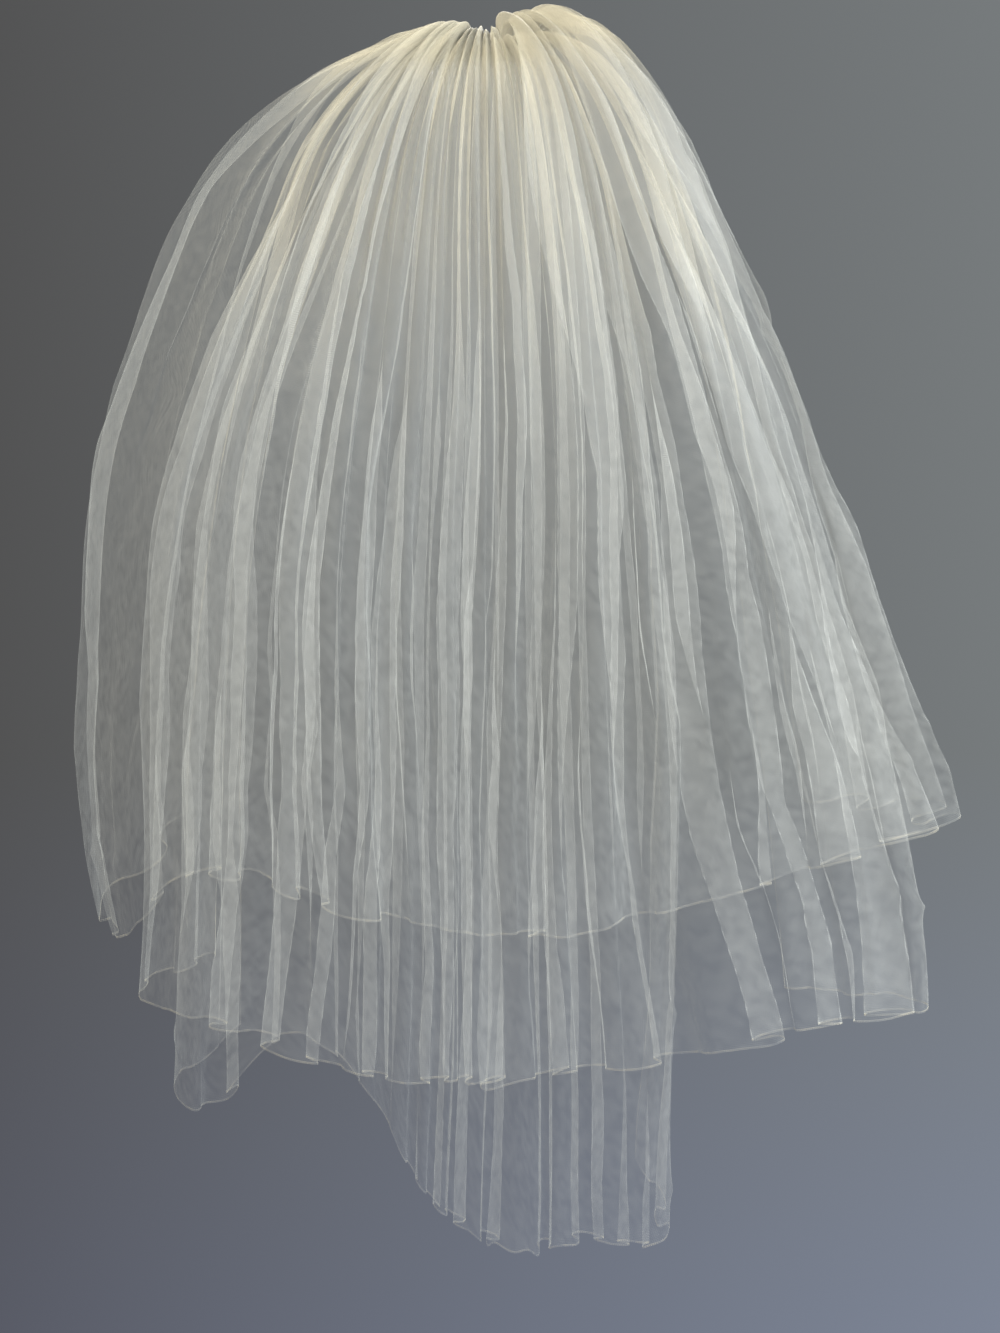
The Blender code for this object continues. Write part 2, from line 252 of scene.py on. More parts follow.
# level: 1 for the outermost tier, -1 for the innermost
# grid: faces across and down
# flat: width and length of the net as cut, in metres
# gores: share of the width; bearing at the band and at the hem, degrees from straight back, positive
#   to the wearer's right; cut length; then the slope in degrees at each station
# pleats: percent of the width; share that is crest; depth outwards and inwards at the hem; lean; how
#   much of the depth it has high up
# creasesDown: starts and ends at these shares of the length; its share of the width at the start, half
#   way and at the end; height, below 0 for a trough; width
# creasesAcross: the same with length and width exchanged
tierShort = {
    "name": "netShort",
    "node": "tier_short",
    "level": 1,
    "grid": (520, 188),
    "seed": 11,
    "flat": (1.88, 0.73),
    "gores": (
        (0.00, -58, -130, 690, 60, -16, -40, -54, -64, -70, -74, -80, -86, -88, -88),
        (0.10, -52, -100, 806, 60, -20, -22, -30, -43, -64, -69, -83, -92, -106, -108),
        (0.18, -45, -82, 792, 62, -18, -25, -36, -50, -66, -71, -83, -91, -102, -104),
        (0.26, -36, -62, 712, 64, -12, -30, -46, -60, -70, -73, -82, -90, -93, -94),
        (0.38, -21, -33, 710, 50, -10, -36, -55, -70, -77, -80, -84, -87, -89, -90),
        (0.52, -2, -2, 720, 34, -11, -36, -58, -73, -79, -82, -85, -87, -88, -89),
        (0.66, 16, 30, 725, 60, 4, -32, -57, -69, -75, -78, -81, -83, -84, -85),
        (0.79, 34, 62, 718, 74, 14, -30, -53, -63, -67, -71, -73, -75, -76, -77),
        (0.91, 49, 92, 712, 76, 10, -38, -55, -60, -61, -69, -71, -70, -70, -70),
        (1.00, 58, 124, 690, 70, 0, -40, -56, -66, -71, -75, -78, -80, -82, -82),
    ),
    "pleats": (
        (5.0, 0.50, 10, 9, 0.3, 0.6),
        (8.0, 0.60, 10, 8, -0.3, 0.6),
        (9.2, 0.65, 9, 9, 0.2, 0.5),
        (6.5, 0.55, 12, 12, 0.6, 0.7),
        (5.0, 0.45, 17, 13, 0.6, 1.0),
        (4.0, 0.50, 19, 15, 0.3, 0.9),
        (7.0, 0.62, 22, 17, -0.3, 1.0),
        (3.6, 0.48, 16, 15, 0.3, 0.8),
        (6.0, 0.55, 21, 17, 0.2, 1.0),
        (4.0, 0.50, 16, 15, -0.3, 0.8),
        (8.0, 0.65, 22, 17, 0.3, 0.9),
        (3.6, 0.48, 16, 15, -0.2, 0.8),
        (6.4, 0.58, 21, 17, -0.5, 1.0),
        (4.0, 0.50, 17, 13, 0.1, 0.8),
        (5.7, 0.60, 19, 13, 0.6, 0.8),
        (5.4, 0.60, 14, 12, -0.6, 0.9),
        (5.0, 0.70, 12, 10, -0.3, 0.7),
        (3.6, 0.50, 9, 8, 0.4, 0.6),
    ),
    "creasesDown": (
        (0.20, 0.66, 0.212, 0.218, 0.220, 6, 6),
        (0.28, 0.84, 0.272, 0.238, 0.258, 7, 6),
        (0.70, 0.88, 0.221, 0.207, 0.188, -4, 5),
        (0.72, 0.96, 0.270, 0.276, 0.292, 5, 5),
        (0.06, 0.66, 0.930, 0.818, 0.835, 7, 7),
        (0.30, 1.00, 0.900, 0.882, 0.875, 5, 6),
        (0.45, 0.98, 0.952, 0.940, 0.938, 4, 5),
        (0.18, 0.90, 0.782, 0.768, 0.775, -5, 6),
        (0.05, 0.24, 0.455, 0.480, 0.420, 4, 5),
        (0.10, 0.48, 0.760, 0.752, 0.757, 5, 6),
        (0.30, 0.44, 0.352, 0.365, 0.395, -4, 5),
        (0.12, 0.90, 0.440, 0.428, 0.452, 5, 7),
        (0.22, 0.97, 0.602, 0.618, 0.600, -5, 7),
        (0.30, 0.80, 0.100, 0.088, 0.104, 3, 6),
        (0.10, 0.55, 0.040, 0.052, 0.046, 4, 6),
    ),
    "creasesAcross": (
        (0.105, 0.205, 0.905, 0.925, 0.935, 4, 5),
        (0.790, 0.880, 0.945, 0.915, 0.890, 4, 5),
        (0.160, 0.260, 0.780, 0.800, 0.830, -3, 5),
        (0.330, 0.430, 0.365, 0.385, 0.380, 3, 5),
        (0.560, 0.680, 0.700, 0.690, 0.715, 3, 6),
        (0.880, 0.960, 0.420, 0.450, 0.430, -3, 6),
    ),
}
tierMiddle = {
    "name": "netMiddle",
    "node": "tier_middle",
    "level": 0,
    "grid": (480, 202),
    "seed": 23,
    "flat": (1.84, 0.82),
    "gores": (
        (0.00, -58, -124, 780, 42, -24, -50, -62, -70, -73, -77, -84, -87, -88, -89),
        (0.10, -52, -97, 812, 44, -20, -38, -48, -66, -66, -71, -86, -87, -85, -85),
        (0.24, -37, -66, 804, 46, -20, -44, -58, -70, -72, -76, -83, -87, -88, -88),
        (0.38, -21, -34, 814, 36, -24, -50, -67, -77, -81, -83, -85, -87, -88, -88),
        (0.52, -2, -3, 812, 27, -26, -54, -72, -80, -83, -85, -87, -88, -88, -88),
        (0.66, 16, 28, 812, 40, -18, -50, -70, -77, -80, -82, -84, -86, -86, -86),
        (0.79, 34, 60, 814, 56, -8, -44, -62, -70, -72, -74, -77, -80, -83, -84),
        (0.91, 49, 92, 832, 60, -10, -44, -61, -66, -65, -68, -71, -78, -88, -88),
        (1.00, 57, 118, 806, 50, -12, -50, -64, -72, -75, -78, -80, -82, -84, -84),
    ),
    "pleats": (
        (5.5, 0.50, 9, 8, -0.4, 0.6),
        (6.5, 0.60, 9, 9, 0.4, 0.8),
        (7.5, 0.60, 9, 12, -0.3, 0.7),
        (5.0, 0.50, 13, 12, 0.6, 1.0),
        (4.2, 0.45, 15, 14, -0.5, 0.8),
        (6.5, 0.60, 18, 15, 0.3, 1.0),
        (4.0, 0.50, 15, 15, 0.5, 0.8),
        (7.5, 0.62, 19, 16, -0.3, 0.9),
        (3.8, 0.50, 15, 14, 0.2, 1.0),
        (5.2, 0.55, 17, 16, 0.5, 0.8),
        (8.0, 0.65, 19, 15, -0.2, 1.0),
        (4.0, 0.48, 16, 14, 0.3, 0.8),
        (5.4, 0.58, 17, 14, -0.4, 0.9),
        (5.2, 0.60, 15, 16, 0.5, 0.8),
        (4.6, 0.60, 14, 20, -0.4, 0.9),
        (5.0, 0.65, 13, 24, 0.4, 0.9),
        (8.3, 0.80, 11, 14, -0.2, 0.7),
        (3.8, 0.50, 8, 7, 0.2, 0.6),
    ),
    "creasesDown": (
        (0.70, 1.00, 0.808, 0.815, 0.810, 6, 5),
        (0.68, 1.00, 0.830, 0.822, 0.814, -5, 5),
        (0.74, 1.00, 0.842, 0.836, 0.830, 5, 5),
        (0.70, 0.98, 0.755, 0.765, 0.776, 5, 6),
        (0.76, 0.96, 0.795, 0.785, 0.774, -4, 5),
        (0.78, 0.94, 0.820, 0.842, 0.864, 5, 5),
        (0.76, 0.98, 0.243, 0.246, 0.256, 5, 5),
        (0.20, 0.85, 0.150, 0.162, 0.158, 4, 6),
        (0.15, 0.80, 0.360, 0.348, 0.352, -5, 7),
        (0.25, 0.98, 0.500, 0.512, 0.505, 5, 6),
        (0.30, 0.98, 0.650, 0.640, 0.655, -5, 6),
        (0.20, 0.75, 0.930, 0.940, 0.925, 4, 6),
    ),
    "creasesAcross": (
        (0.150, 0.240, 0.925, 0.945, 0.930, 4, 5),
        (0.860, 0.940, 0.880, 0.905, 0.925, 4, 5),
        (0.440, 0.560, 0.905, 0.885, 0.900, 3, 6),
        (0.300, 0.390, 0.620, 0.640, 0.625, 3, 6),
    ),
}
tierLong = {
    "name": "netLong",
    "node": "tier_long",
    "level": -1,
    "grid": (400, 240),
    "seed": 37,
    "flat": (1.08, 0.90),
    "gores": (
        (0.00, -57, -112, 800, 22, -30, -62, -72, -70, -74, -80, -87, -88, -88, -88),
        (0.08, -52, -97, 856, 25, -25, -58, -67, -62, -65, -78, -87, -86, -86, -86),
        (0.16, -45, -82, 858, 25, -25, -59, -69, -66, -68, -79, -87, -87, -87, -87),
        (0.20, -41, -75, 804, 25, -28, -61, -72, -71, -73, -81, -88, -88, -88, -88),
        (0.24, -37, -68, 788, 24, -30, -62, -74, -76, -78, -83, -88, -88, -88, -88),
        (0.32, -30, -53, 822, 22, -34, -66, -78, -82, -84, -86, -88, -88, -88, -88),
        (0.42, -19, -36, 892, 16, -38, -68, -80, -85, -86, -87, -88, -89, -89, -89),
        (0.55, -6, -12, 922, 12, -39, -70, -82, -86, -87, -88, -89, -89, -89, -89),
        (0.68, 9, 15, 936, 18, -38, -70, -82, -86, -87, -88, -88, -88, -88, -88),
        (0.80, 22, 40, 936, 24, -34, -66, -78, -83, -84, -86, -88, -89, -90, -90),
        (0.90, 32, 62, 942, 28, -28, -62, -74, -78, -79, -81, -85, -90, -92, -92),
        (1.00, 40, 84, 876, 26, -34, -66, -76, -80, -82, -86, -89, -92, -92, -92),
    ),
    "pleats": (
        (5.0, 0.50, 8, 7, 0.3, 0.7),
        (11.0, 0.72, 9, 14, -0.2, 0.8),
        (7.0, 0.50, 9, 10, 0.4, 0.8),
        (6.0, 0.50, 11, 10, 0.2, 0.9),
        (5.5, 0.50, 13, 10, -0.5, 0.8),
        (6.0, 0.60, 14, 11, 0.4, 1.0),
        (5.0, 0.50, 13, 11, -0.3, 0.8),
        (6.0, 0.45, 14, 11, 0.3, 0.9),
        (7.5, 0.60, 15, 12, -0.3, 1.0),
        (13.0, 0.75, 15, 12, 0.2, 0.9),
        (9.0, 0.60, 14, 11, -0.3, 0.9),
        (6.0, 0.50, 12, 9, 0.2, 0.9),
        (7.0, 0.65, 9, 6, -0.2, 0.7),
        (5.8, 0.50, 5, 3, 0.0, 0.5),
    ),
    "creasesDown": (
        (0.84, 1.00, 0.565, 0.560, 0.558, 5, 5),
        (0.82, 1.00, 0.722, 0.728, 0.738, 5, 5),
        (0.80, 1.00, 0.782, 0.780, 0.784, -5, 5),
        (0.82, 1.00, 0.822, 0.818, 0.815, 6, 5),
        (0.84, 1.00, 0.495, 0.505, 0.512, 5, 5),
        (0.86, 0.99, 0.842, 0.872, 0.925, 4, 5),
        (0.30, 0.95, 0.095, 0.105, 0.110, 4, 6),
        (0.20, 0.80, 0.300, 0.310, 0.305, -4, 6),
        (0.25, 0.80, 0.600, 0.590, 0.605, 4, 6),
        (0.40, 0.98, 0.950, 0.958, 0.950, -3, 5),
    ),
    "creasesAcross": (
        (0.080, 0.170, 0.940, 0.955, 0.940, 3, 5),
        (0.600, 0.720, 0.945, 0.930, 0.950, 3, 5),
        (0.860, 0.960, 0.800, 0.820, 0.805, 3, 5),
    ),
}


def smoothTable(places, keys, values):
    keys = np.asarray(keys, float)
    values = np.asarray(values, float)
    slopes = np.gradient(values, keys, axis=0)
    places = np.clip(np.asarray(places, float), keys[0], keys[-1])
    index = np.clip(np.searchsorted(keys, places, side="right") - 1, 0, len(keys) - 2)
    width = keys[index + 1] - keys[index]
    t = (places - keys[index]) / width
    shape = (-1,) + (1,) * (values.ndim - 1)
    t = t.reshape(shape)
    width = width.reshape(shape)
    return ((2 * t**3 - 3 * t**2 + 1) * values[index] + (t**3 - 2 * t**2 + t) * width * slopes[index]
            + (3 * t**2 - 2 * t**3) * values[index + 1] + (t**3 - t**2) * width * slopes[index + 1])


def ease(t):
    t = np.clip(t, 0, 1)
    return t * t * (3 - 2 * t)


def splineParts(t, cells):
    t = np.clip(t, 0, 1) * cells
    index = np.minimum(t.astype(int), cells - 1)
    f = t - index
    return index, ((1 - f)**3 / 6, (3 * f**3 - 6 * f**2 + 4) / 6,
                   (-3 * f**3 + 3 * f**2 + 3 * f + 1) / 6, f**3 / 6)


def waver(u, v, cellsU, cellsV, seed):  # smooth chance unevenness, mostly between -1 and 1
    most = 1.6  # the spline smooths peaks away, so its corners may reach past 1
    table = np.random.default_rng(seed).uniform(-most, most, (cellsU + 3, cellsV + 3))
    indexU, weightsU = splineParts(u, cellsU)
    indexV, weightsV = splineParts(v, cellsV)
    return sum(weightU * weightV * table[indexU + i, indexV + j]
               for i, weightU in enumerate(weightsU) for j, weightV in enumerate(weightsV))


def facets(u, v, cellsU, cellsV, seed):  # chance unevenness in flat patches with creases between them
    table = np.random.default_rng(seed).uniform(-1, 1, (cellsU + 1, cellsV + 1))
    warp = folds["warp"]
    u = np.clip(u + warp / cellsU * waver(u, v, cellsU, cellsV, seed + 100), 0, 1) * cellsU
    v = np.clip(v + warp / cellsV * waver(u / cellsU, v, cellsU, cellsV, seed + 101), 0, 1) * cellsV
    column = np.minimum(u.astype(int), cellsU - 1)
    row = np.minimum(v.astype(int), cellsV - 1)
    u, v = u - column, v - row
    return ((table[column, row] * (1 - u) + table[column + 1, row] * u) * (1 - v)
            + (table[column, row + 1] * (1 - u) + table[column + 1, row + 1] * u) * v)


def crispWave(phase):  # a sine with flatter sides and sharper peaks
    sharpness = folds["sharpness"]
    return np.arcsin(sharpness * np.sin(phase)) / math.asin(sharpness)


def headingPoints(shares, level):
    tilt = math.radians(crown["combTilt"])
    back = crown["spineHeight"] / 2 + crown["bandDepth"] + 2 * crown["seam"] + crown["edgeRoom"]
    x = (shares - 0.5) * crown["headingWidth"]
    rise = level * crown["headingPitch"]
    points = np.zeros((len(x), 3))
    points[:, 0] = x
    points[:, 1] = -back * math.cos(tilt) + rise * math.sin(tilt)
    points[:, 2] = back * math.sin(tilt) + rise * math.cos(tilt) - x**2 / (2 * crown["radius"])
    return points


def fallOfCloth(tier, shares):  # the smooth cloth before its folds
    rows = np.array(tier["gores"], float)
    table = smoothTable(shares, rows[:, 0], rows[:, 1:])
    step = fall["runStep"]
    run = np.arange(0, fall["stations"][-1] + step, step)
    middle = run[:-1] + step / 2
    slope = np.radians(smoothTable(middle, fall["stations"], table[:, 3:].T)).T
    turn = ease(middle / fall["turnRun"])[None, :]
    bearing = np.radians(table[:, 0:1] * (1 - turn) + table[:, 1:2] * turn)
    reach = np.cos(slope)
    way = np.stack([reach * np.sin(bearing), -reach * np.cos(bearing), np.sin(slope)], -1)
    points = np.concatenate([np.zeros((len(shares), 1, 3)), np.cumsum(way * step, axis=1)], axis=1)
    return points + headingPoints(shares, tier["level"])[:, None, :], run, table[:, 2]


def creaseHeights(tier, u, v, stretch, length):
    heights = np.zeros_like(u)
    soft = folds["creaseSoftness"]
    for rows, along, across, scale in ((tier["creasesDown"], v, u, stretch),
                                       (tier["creasesAcross"], u, v, length)):
        for start, end, first, half, last, height, width in rows:
            t = np.clip((along - start) / (end - start), 0, 1)
            centre = first * (1 - t) * (1 - 2 * t) + half * 4 * t * (1 - t) + last * t * (2 * t - 1)
            away = (across - centre) * scale / width
            profile = np.exp(math.sqrt(soft) - np.sqrt(away**2 + soft))
            heights += height * profile * np.sin(math.pi * t)**folds["creaseFade"]
    return heights


def gridShares(tier):  # where the columns and rows of the mesh stand on the cut sheet
    columns, rows = tier["grid"]
    width, length = tier["flat"]
    rim = np.array(net["cutEdge"]) * mm
    shares = np.linspace(0, 1, columns + 1 - 2 * len(rim))
    shares = np.sort(np.concatenate([shares, rim / width, 1 - rim / width]))
    along = np.linspace(0, 1, rows + 1 - len(rim))
    closer, power = fall["crownRows"]
    along = (1 - closer) * along + closer * along**power
    return shares, np.sort(np.concatenate([along, 1 - rim / length]))


def foldedCloth(tier):
    seed = tier["seed"]
    shares, along = gridShares(tier)
    smooth, run, lengths = fallOfCloth(tier, shares)
    for place, (height, waves) in enumerate(folds["cutWobble"]):
        lengths = lengths + height * waver(shares, shares * 0, waves, 1, seed + 1 + place)
    distance = lengths[:, None] * along[None, :]
    base = np.stack([[np.interp(distance[c], run, smooth[c, :, axis]) for axis in range(3)]
                     for c in range(len(shares))]).transpose(0, 2, 1)
    across = np.gradient(base, shares, axis=0)
    down = np.gradient(base, along, axis=1)
    stretch = np.linalg.norm(across, axis=2)
    across /= stretch[..., None]
    out = np.cross(across, down)
    out /= -np.linalg.norm(out, axis=2)[..., None]
    u, v = np.meshgrid(shares, along, indexing="ij")

    # which pleat, and where on it
    table = np.array(tier["pleats"], float)
    count = len(table)
    edges = np.concatenate([[0], np.cumsum(table[:, 0])]) / table[:, 0].sum()
    ends = np.sqrt(np.sin(math.pi * u))
    stray, *swells = folds["stray"]
    kinks, *corners = folds["kinks"]
    wander = stray * waver(u, v, *swells, seed + 3) + kinks * facets(u, v, *corners, seed + 13)
    place = np.clip(u + ends * ease(v * folds["strayStart"]) * wander, 0, 1)
    number = np.clip(np.searchsorted(edges, place, side="right") - 1, 0, count - 1)
    inside = (place - edges[number]) / (edges[number + 1] - edges[number])
    crest, outwards, inwards, ownLean, high = (table[number, i] for i in range(1, 6))
    onCrest = inside < crest
    phase = math.pi * np.where(onCrest, inside / crest, 1 + (inside - crest) / (1 - crest))

    # how deep it is there
    late = np.exp(folds["lateness"] * waver(place, v * 0, count, 1, seed + 14))
    growth = 1 - np.exp(-(distance / (folds["growthRun"] * late))**folds["growthDelay"])
    change, swells = folds["uneven"]
    strength = np.clip(1 + change * waver(place, v, count, swells, seed + 4),
                       folds["weakest"], folds["strongest"])
    depth = np.where(onCrest, outwards, inwards) * (high + (1 - high) * ease(v))
    opened, start, pace = folds["atHem"]
    depth *= 1 + (opened - 1) * ease((v - start) * pace)
    depth = folds["startDepth"] + depth * growth * strength
    span = stretch * (edges[number + 1] - edges[number]) * np.where(onCrest, crest, 1 - crest) * 2
    shallow, reach = folds["crownDepth"]
    deepest = folds["deepest"] * span * (shallow + (1 - shallow) * ease(distance / reach))
    depth = depth * deepest / np.sqrt(depth**2 + deepest**2)
    rise = depth * crispWave(phase)

    # how it leans and tucks under
    lieOver, *swells = folds["lieOver"]
    lean = lieOver * waver(u, v, *swells, seed + 5) + folds["ownLean"] * ownLean
    change, swells = folds["tuckChange"]
    tuck = folds["tuck"] + change * waver(place, v, count, swells, seed + 6)
    aside = folds["tuckAside"]
    tuck *= (np.minimum(1, folds["tuckStrength"] * strength)
             * (aside + (1 - aside) * math.pi / 2 * np.sin(math.pi * u)))
    tuck = tuck * np.minimum(1, folds["tuckGrowth"] * growth)
    shift = lean * growth * rise - tuck * span / (4 * math.pi) * crispWave(2 * phase)

    # gathers that fade below the crown
    gathers = folds["gathers"]
    swing, swells = folds["gatherSwing"]
    wave = 2 * math.pi * (gathers * u + swing * waver(u, v, gathers // 2, swells, folds["gatherSeed"]))
    size = np.minimum(folds["gatherDepth"] * stretch / gathers, folds["gatherLimit"])
    start, end = folds["gatherRun"]
    rise += size * np.sin(wave) * (1 - ease((distance - start) / (end - start)))

    # ripples in patches, buckles, facets, billows, creases and the flare of the hem
    start, *swells = folds["ripplePatches"]
    patch = np.clip(waver(u, v, *swells, seed + 7), 0, 1) * ease(v * start)
    swing, *swells = folds["rippleSwing"]
    wave = 2 * math.pi * (folds["ripples"] * count * place + swing * waver(u, v, *swells, seed + 8))
    rise += folds["rippleDepth"] * patch * np.sin(wave)
    for name, chance, draw in (("buckle", waver, 9), ("crumple", facets, 15), ("billow", waver, 12)):
        height, start, *swells = folds[name]
        rise += height * ease(v * start) * chance(u, v, *swells, seed + draw)
    rise += creaseHeights(tier, u, v, stretch, lengths[:, None])
    height, start, pace, *swells = folds["flare"]
    rise += height * ease((v - start) * pace) * waver(u, v, *swells, seed + 10)
    rise += tier["level"] * folds["room"] * ease(distance / folds["roomRun"])
    return base + out * rise[..., None] + across * shift[..., None], shares, along, lengths


def show(data):
    made = bpy.data.objects.new(data.name, data)
    bpy.context.scene.collection.objects.link(made)
    return made


def makeTier(tier, material):
    points, shares, along, lengths = foldedCloth(tier)
    columns, rows = tier["grid"]
    sheet = bmesh.new()
    bmesh.ops.create_grid(sheet, x_segments=columns, y_segments=rows, size=0.5)
    places = np.array([vert.co[:2] for vert in sheet.verts]) + 0.5
    column = np.rint(places[:, 0] * columns).astype(int)
    row = np.rint(places[:, 1] * rows).astype(int)
    for vert, place in zip(sheet.verts, points[column, row] * mm):
        vert.co = place
    mesh = bpy.data.meshes.new(tier["name"])
    sheet.to_mesh(mesh)
    sheet.free()

    widths = np.concatenate([np.zeros((1, rows + 1)),
                             np.cumsum(np.linalg.norm(np.diff(points, axis=0), axis=2), axis=0)])
    uv = np.stack([widths - widths[-1] / 2, lengths[:, None] * (1 - along)], axis=2)[column, row] * mm
    corner = np.zeros(len(mesh.loops), int)
    mesh.loops.foreach_get("vertex_index", corner)
    mesh.uv_layers.new(name="cloth").data.foreach_set("uv", uv[corner].ravel())
    u, v = np.meshgrid(shares, along, indexing="ij")
    width, length = np.array(tier["flat"]) / mm
    fullness = (width / widths[-1])[None, :]**net["gathering"]
    edge = sum(net["cutEdge"]) / 2
    rim = (np.minimum(u, 1 - u) * width < edge) | ((1 - v) * length < edge)
    mottle = net["mottleDepth"] * waver(u, v, *net["mottle"], tier["seed"] + 11)
    mottle += net["speckle"] * np.random.default_rng(tier["seed"] + 20).uniform(-1, 1, u.shape)
    mottle = 1 + mottle * np.minimum(1, widths[-1] / width)[None, :]**2  # less where it is gathered
    layer = net["density"] * fullness * mottle * np.where(rim, net["cutGain"], 1)
    mesh.attributes.new("layer", "FLOAT", "POINT").data.foreach_set("value", layer[column, row])
    mesh.materials.append(material)
    mesh.shade_smooth()
    made = show(mesh)
    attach(made, "root")
    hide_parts(tier["node"])
    area = sum(polygon.area for polygon in mesh.polygons)
    widest = round(widths[-1].max())
    print(made.name, len(mesh.polygons), "faces, widest", widest, "area", round(area, 3))


netMaterial = netFinish()
for tier in (tierLong, tierMiddle, tierShort):
    makeTier(tier, netMaterial)


# comb, band and the sewing that joins them
comb = {
    "colour": (0.90, 0.91, 0.88),
    "clearness": 0.85,
    "ior": 1.49,
    "roughness": 0.14,
    "edge": 0.35,             # radius of its moulded edges
    "edgeAngle": 20,          # degrees, sharper edges than this are rounded
    "flow": 6.0,              # size of the faint ripples in the moulding
    "flowDetail": 3.0,
    "flowDepth": 0.05,
    "smears": (0.3, 0.8),     # where the ripples turn from glossy to dull
    "spineThick": 2.4,
    "width": 88.0,
    "teeth": 20,
}
band = {
    "colours": ((0.83, 0.79, 0.67), (0.90, 0.87, 0.77)),
    "weave": 0.55,            # pitch of the satin's threads
    "weaveDepth": 0.06,
    "patch": 9.0,
    "patchRamp": (0.3, 0.7),
    "roughness": (0.42, 0.62),
    "sheen": 0.4,
    "rings": 176,
    "corners": 6,             # steps round each rounded edge
    "round": 1.3,
    "endSize": (0.82, 12),    # size of its very ends, and how soon it fills out
    "pucker": 0.16,           # how far the binding draws in at each stitch
    "crumple": (0.10, 30, 5),  # height of its dents, and how many along and round it
    "seed": 51,
}
sewing = {
    # the first colour is painted shade in the grooves of the thread's twist, the second the lit crests
    "colours": ((0.86, 0.82, 0.70), (0.93, 0.91, 0.83)),
    "thick": 0.42,
    "stitch": 2.3,
    "pitch": 3.6,
    "rows": (-2.9, 2.9),      # heights of the two rows on the band's front face
    "proud": 0.12,            # how far a stitch bows out
    "margin": 2,              # the rows stop short of the binding's ends by this much in all
    # one stitch: along it, how proud, how sunk
    "arch": ((-0.5, 0, 1), (-0.4, 1, 0), (0, 1.3, 0), (0.4, 1, 0), (0.5, 0, 1)),
    "taper": 0.5,             # of a thread where it enters the cloth
    "turns": 3,               # turns of thread round the spine in each gap that is sewn
    "gapsSewn": 2,            # one gap in this many
    "turnRoom": 1.15,         # from one turn to the next, as a share of the thread
    "twist": 0.5,
    "twistDepth": 0.05,
    "roughness": 0.5,
}


def combFinish():
    made = Finish("clearComb")
    flow = made.noise(made.places(), comb["flow"] * mm, comb["flowDetail"])
    made.feed(Base_Color=(*comb["colour"], 1), Transmission_Weight=comb["clearness"], IOR=comb["ior"],
              Roughness=flow.step(*comb["smears"]) * comb["roughness"] + comb["roughness"] / 2,
              Normal=made.bumps(flow, comb["flowDepth"] * mm))
    return made.material


def bandFinish():
    made = Finish("ivoryBinding")
    places = made.places()
    x, _, z = made.parts(places)
    weave = (x * (math.tau / (band["weave"] * mm)) + z * (math.pi / (band["weave"] * mm))).cosine()
    patch = made.noise(places, band["patch"] * mm).step(*band["patchRamp"])
    low, high = band["roughness"]
    made.feed(Base_Color=made.blend(patch, *band["colours"]), Roughness=patch * (low - high) + high,
              Sheen_Weight=band["sheen"], Normal=made.bumps(weave, band["weaveDepth"] * mm))
    return made.material


def threadFinish():
    made = Finish("ivoryThread")
    x, y, z = made.parts(made.places())
    twist = ((x + y + z) * (math.tau / (sewing["twist"] * mm))).cosine()
    # painted shade: the thread is darker where the twist bump dips and lighter on its crests
    made.feed(Base_Color=made.blend(twist.step(-1, 1), *sewing["colours"]),
              Roughness=sewing["roughness"], Normal=made.bumps(twist, sewing["twistDepth"] * mm))
    return made.material


def onComb(x, y, z):  # from the flat comb, teeth along +Y, to its place in the veil
    point = Matrix.Rotation(math.radians(-crown["combTilt"]), 3, "X") @ Vector((x, y, z))
    point.z -= x**2 / (2 * crown["radius"])
    return point * mm


def addPiece(data, material, slot, *nodes):
    data.materials.append(material)
    made = show(data)
    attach(made, "root")
    if nodes:
        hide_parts(*nodes)
    print(made.name, "made")


def finishMesh(name, drawn):
    bmesh.ops.recalc_face_normals(drawn, faces=drawn.faces)
    mesh = bpy.data.meshes.new(name)
    drawn.to_mesh(mesh)
    drawn.free()
    mesh.shade_smooth()
    return mesh


def makeComb():
    drawn = bmesh.new()
    drawn.from_mesh(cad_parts["comb"].data)
    bmesh.ops.remove_doubles(drawn, verts=drawn.verts, dist=0.01 * mm)
    bmesh.ops.dissolve_limit(drawn, angle_limit=math.radians(1), verts=drawn.verts, edges=drawn.edges)
    sharp = [edge for edge in drawn.edges if edge.calc_face_angle(0) > math.radians(comb["edgeAngle"])]
    bmesh.ops.bevel(drawn, geom=sharp, offset=comb["edge"] * mm, segments=3, profile=0.5,
                    affect="EDGES", material=-1, clamp_overlap=True)
    addPiece(finishMesh("mouldedComb", drawn), combFinish(), "clear_comb", "comb")


